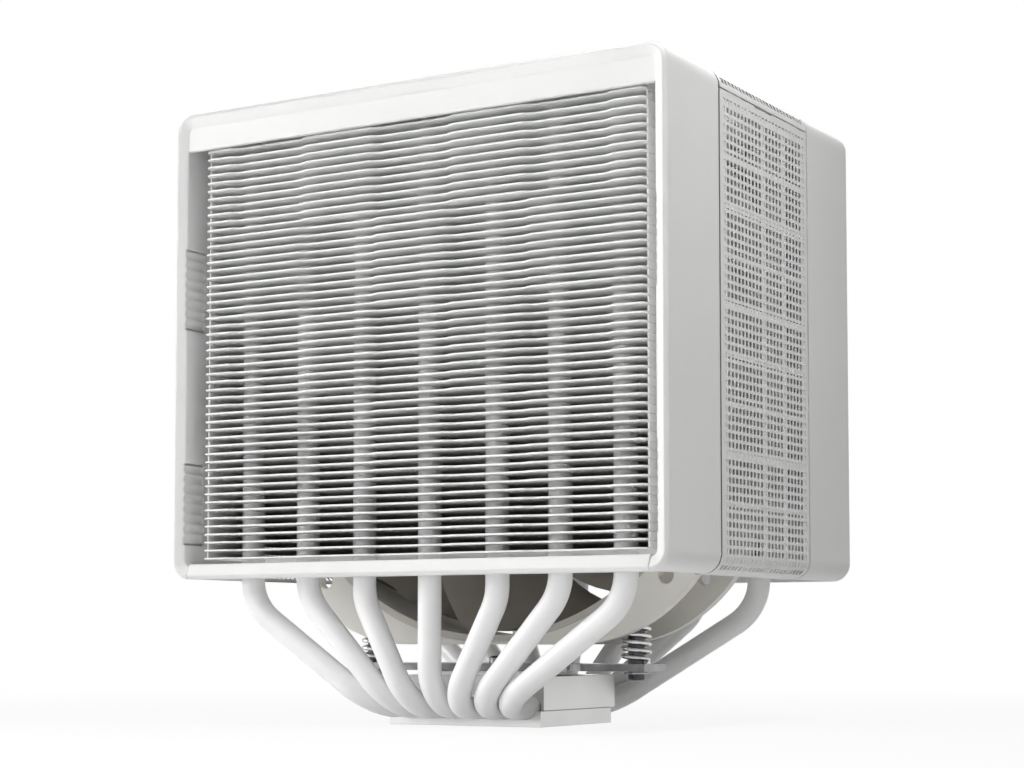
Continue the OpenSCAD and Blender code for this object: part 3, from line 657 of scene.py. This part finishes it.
def screw_spring(side):
    """A bright left-hand wire spring around its screw."""
    node = "screw_spring_" + side
    low, high = corners_mm(node)
    x, radius = (low[0] + high[0]) / 2, (high[0] - low[0] - SPRING_WIRE) / 2
    bottom, length = low[2], high[2] - low[2]
    start, rise = bottom + SPRING_WIRE, length - 2 * SPRING_WIRE
    steps, sides = TURN_STEPS * SPRING_TURNS, WIRE_SIDES
    path = [Vector((radius, 0, bottom))]
    for k in range(steps + 1):
        a = 2 * math.pi * k / TURN_STEPS
        path.append(Vector((radius * math.cos(a), -radius * math.sin(a), start + rise * k / steps)))
    path.append(Vector((radius, 0, bottom + length)))
    points, faces = [], []
    for k, p in enumerate(path):
        way = Vector((0, 0, 1))
        if 0 < k < len(path) - 1:
            way = ((path[k + 1] - p).normalized() + (p - path[k - 1]).normalized()).normalized()
        out = Vector((p.x, p.y, 0)).normalized()
        out = (out - way * out.dot(way)).normalized()
        up = way.cross(out)
        for s in range(sides):
            a = 2 * math.pi * s / sides
            q = p + SPRING_WIRE / 2 * (math.cos(a) * out + math.sin(a) * up)
            points.append((q.x + x, q.y, q.z))
    for k in range(len(path) - 1):
        for s in range(sides):
            t = (s + 1) % sides
            faces.append([k * sides + s, k * sides + t, (k + 1) * sides + t, (k + 1) * sides + s])
    faces += [list(range(sides)), list(range(len(points) - sides, len(points)))]
    made = piece("spring_" + side, points, faces, "spring_steel", "cooler", node, smooth_under=60)
    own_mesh(made)
    return made


# CAD nodes keep their shape and take the finish of their slot

for part in frame["record"]["subparts"]:
    slots = frame["nodes"][part["node"]].data.materials
    slots.clear()
    slots.append(FINISHES[part["material_slot"]])
# The flanges show the fan plastic's own ivory; the rest of the frame keeps its darker copy, painted shade.
IVORY = ivory_pbt()
for end in ("front", "rear"):
    frame["nodes"]["fan_" + end + "_flange"].data.materials[0] = IVORY
# The screws take a dark steel of painted shade, which darkens the gaps between the coils.
SCREW_SHADE_STEEL = shade_dark_screw_steel()
for side in ("left", "right"):
    frame["nodes"]["spring_screw_" + side].data.materials[0] = SCREW_SHADE_STEEL

side_panel(1, "side_panel_right")
side_panel(-1, "side_panel_left")
top_cover()
fan_rotor()
for side in ("left", "right"):
    screw_spring(side)


# Stage, light and camera

def shown(tree):
    """One for rays that show the surroundings: to the camera, or in metal or glass."""
    path = add(tree, "LightPath").outputs
    either = add(tree, "Math", {0: path["Is Camera Ray"], 1: path["Is Glossy Ray"]},
                 operation="MAXIMUM").outputs[0]
    return add(tree, "Math", {0: either, 1: path["Is Transmission Ray"]}, operation="MAXIMUM").outputs[0]


def white_stage():
    """A wide pale floor that looks white, with a faint shadow close to the cooler."""
    made = bpy.data.materials.new("white_floor")
    made.use_nodes = True
    tree = made.node_tree
    tree.nodes.clear()
    place = add(tree, "TexCoord").outputs["Object"]
    away = add(tree, "VectorMath", {0: place}, operation="LENGTH").outputs["Value"]
    share = add(tree, "MapRange", {"Value": away, "From Min": SHADOW_M[0], "From Max": SHADOW_M[1],
                                   "To Min": SHADOW_WHITE[0], "To Max": SHADOW_WHITE[1]}).outputs["Result"]
    part = add(tree, "Math", {0: share, 1: shown(tree)}, operation="MULTIPLY").outputs[0]
    paper = add(tree, "BsdfDiffuse", {"Color": colour("#f4f4f4")}).outputs[0]
    glow = add(tree, "Emission", {"Color": colour("#ffffff"), "Strength": 1.0}).outputs[0]
    both = add(tree, "MixShader", {0: part, 1: paper, 2: glow}).outputs[0]
    add(tree, "OutputMaterial", {"Surface": both})
    bpy.ops.mesh.primitive_plane_add(size=FLOOR_SIZE_M, location=(0, 0, cad_box[0][2] - FLOOR_DROP_M))
    floor = bpy.context.object
    floor.name = "floor"
    floor.data.materials.append(made)


def white_world(dim, bright, towards):
    """Soft surroundings, brighter in one direction, that look white to the camera."""
    world = bpy.data.worlds.new("studio")
    bpy.context.scene.world = world
    world.use_nodes = True
    tree = world.node_tree
    tree.nodes.clear()
    way = add(tree, "TexCoord").outputs["Generated"]
    facing = add(tree, "VectorMath", {0: way, 1: Vector(towards).normalized()},
                 operation="DOT_PRODUCT").outputs["Value"]
    level = add(tree, "MapRange", {"Value": facing, "From Min": -1.0, "From Max": 1.0,
                                   "To Min": dim, "To Max": bright}).outputs["Result"]
    room = add(tree, "Background", {"Color": colour("#ffffff"), "Strength": level}).outputs[0]
    white = add(tree, "Background", {"Color": colour("#ffffff"), "Strength": 1.0}).outputs[0]
    both = add(tree, "MixShader", {0: shown(tree), 1: room, 2: white}).outputs[0]
    add(tree, "OutputWorld", {"Surface": both})


def softbox(name, place, size, watts, aim=(0.0, 0.0, 0.09), spread=180):
    """A square area lamp in metres, aimed at the cooler or at the floor."""
    lamp = bpy.data.lights.new(name, "AREA")
    lamp.size = size
    lamp.energy = watts
    lamp.spread = math.radians(spread)
    made = bpy.data.objects.new(name, lamp)
    made.location = place
    made.rotation_euler = (Vector(aim) - Vector(place)).to_track_quat("-Z", "Y").to_euler()
    made.visible_camera = False
    bpy.context.collection.objects.link(made)


def photo_camera():
    """The photograph's view: from the front right, a little from below."""
    turn, tilt = math.radians(30.86), math.radians(3.60)
    ahead = Vector((-math.sin(turn) * math.cos(tilt), math.cos(turn) * math.cos(tilt), math.sin(tilt)))
    lens = bpy.data.cameras.new("camera")
    lens.sensor_width = 36
    lens.lens = 73.44
    lens.shift_y = 0.1193
    lens.clip_start = 0.01
    made = bpy.data.objects.new("camera", lens)
    made.location = (0.2885, -0.4773, 0.0227)
    made.rotation_euler = ahead.to_track_quat("-Z", "Y").to_euler()
    bpy.context.collection.objects.link(made)
    bpy.context.scene.camera = made


white_stage()
white_world(0.15, 0.18, (-0.6, -0.75, 0.1))
softbox("key_box", (-0.7, -1.0, 0.9), 0.8, 4.4)
softbox("front_box", (-0.5, -1.2, 0.35), 0.6, 2.2)
softbox("left_box", (-1.2, -0.6, 0.35), 0.5, 6.6)
softbox("side_box", (0.2, -0.05, 0.4), 0.1, 0.085, aim=(0.07, -0.02, 0.14), spread=60)
softbox("back_box", (-0.3, 1.1, 0.6), 0.6, 4.0)
softbox("floor_box", (0.05, -0.45, 0.6), 0.4, 1.7, aim=(0.05, -0.45, 0.0), spread=50)
photo_camera()
bpy.context.scene.view_settings.view_transform = "Standard"
